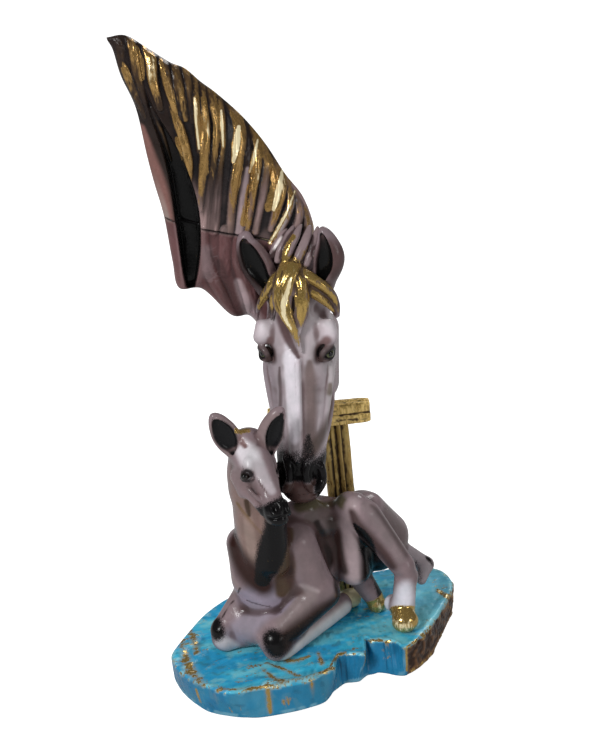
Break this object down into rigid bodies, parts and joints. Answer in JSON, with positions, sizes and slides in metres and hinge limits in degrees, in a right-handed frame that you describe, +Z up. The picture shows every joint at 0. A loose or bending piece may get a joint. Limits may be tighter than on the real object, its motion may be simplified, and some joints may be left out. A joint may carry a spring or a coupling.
{
  "type": "mare and foal figurine",
  "caption": "Painted resin figurine of a mare's head and sweeping maned neck leaning over a fence to a reclining foal on a moulded base.",
  "frame": {"origin": "middle of the base's foam pad, on the surface that the figurine stands on", "axes": "+X to the right of a viewer who faces the two animals, +Y to the back, +Z up along the height"},
  "size_m": [0.1628, 0.1116, 0.3517],
  "materials": {
    "base": "cast resin painted turquoise with gold brush strokes, clear gloss",
    "pad": "black foam sheet",
    "foal": "cast resin, pearl mauve with dark brown shading, clear gloss",
    "mare_head": "cast resin, pearl mauve grey with black muzzle and gold forelock, clear gloss",
    "mane": "cast resin, dark brown with gold leaf paint on the ridges, clear gloss",
    "fence": "cast resin painted as gilded rough timber",
    "eyes": "polished dark bead",
    "pins": "drawn wire"
  },
  "bodies": {
    "root": {"base": "base", "base_pad": "pad", "foal": "foal", "foal_eyes": "eyes", "mare_head": "mare_head", "mare_eyes": "eyes", "mare_mane": "mane", "fence_post": "fence", "fence_rail": "fence", "foal_pins": "pins", "neck_pins": "pins", "post_pin": "pins", "rail_pins": "pins", "muzzle_pin": "pins"}
  },
  "joints": []
}
